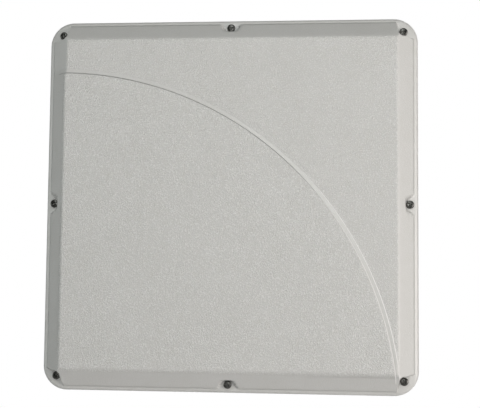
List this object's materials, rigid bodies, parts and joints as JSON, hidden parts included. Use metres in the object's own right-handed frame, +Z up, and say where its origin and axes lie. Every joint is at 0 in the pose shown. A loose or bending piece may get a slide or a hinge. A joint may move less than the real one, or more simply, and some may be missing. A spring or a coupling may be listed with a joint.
{
  "type": "flat panel antenna",
  "caption": "Square outdoor flat panel antenna with a stepped white radome, a rear cable socket and a tilting bracket that clamps to a vertical pole.",
  "frame": {"origin": "on the axis of the pole that the antenna is clamped to, midway between the two U-bolts", "axes": "+Z up along the pole, +Y back from the radome through the panel towards the pole and out of the cable socket's mouth, +X to the right as the radome is looked at"},
  "size_m": [0.371, 0.157, 0.371],
  "materials": {
    "radome_plastic": "satin white-grey ABS with a fine moulded grain on the face",
    "black_rubber": "matt black closed-cell foam",
    "plate_aluminium": "plain rolled sheet",
    "cast_aluminium": "sand-cast and tumbled",
    "screw_steel": "stainless steel",
    "zinc_steel": "bright zinc plated",
    "spring_steel": "zinc plated spring steel",
    "galvanised_sheet": "hot-dip galvanised",
    "brass": "turned brass",
    "copper_strip": "bare copper alloy strip",
    "nickel": "nickel plated brass",
    "white_nylon": "white nylon or PTFE"
  },
  "bodies": {
    "pole_mount": {"pole_bracket": "galvanised_sheet", "saddle_upper": "cast_aluminium", "saddle_lower": "cast_aluminium", "pivot_bolts": "zinc_steel", "pivot_nuts": "zinc_steel", "tilt_lock_bolts": "zinc_steel", "tilt_lock_nuts": "zinc_steel", "tilt_washers": "zinc_steel", "tilt_spring_washers": "spring_steel", "u_bolt_washers": "zinc_steel", "u_bolt_spring_washers": "spring_steel", "u_bolt_nuts": "zinc_steel"},
    "panel": {"radome": "radome_plastic", "radome_gasket": "black_rubber", "back_plate": "plate_aluminium", "cover_screws": "screw_steel", "cover_nuts": "zinc_steel", "patch_plates": "plate_aluminium", "patch_posts": "brass", "patch_screws": "screw_steel", "feed_network": "copper_strip", "feed_spacers": "white_nylon", "n_connector_body": "nickel", "n_connector_insulator": "white_nylon", "n_connector_contact": "brass", "connector_gasket": "black_rubber", "connector_screws": "screw_steel", "connector_nuts": "zinc_steel", "bracket_studs": "zinc_steel", "bracket_washers": "zinc_steel", "bracket_spring_washers": "spring_steel", "bracket_nuts": "zinc_steel", "antenna_bracket": "galvanised_sheet"},
    "upper_clamp": {"u_bolt_upper": "zinc_steel"},
    "lower_clamp": {"u_bolt_lower": "zinc_steel"}
  },
  "joints": [
    {"name": "tilt", "type": "hinge", "parent": "pole_mount", "child": "panel", "pos_m": [0, -0.062, 0], "axis": [1, 0, 0], "range_deg": [-20, 20]},
    {"name": "upper_clamp_slide", "type": "slide", "parent": "pole_mount", "child": "upper_clamp", "axis": [0, 1, 0], "range_m": [-0.008, 0.005]},
    {"name": "lower_clamp_slide", "type": "slide", "parent": "pole_mount", "child": "lower_clamp", "axis": [0, 1, 0], "range_m": [-0.008, 0.005]}
  ]
}
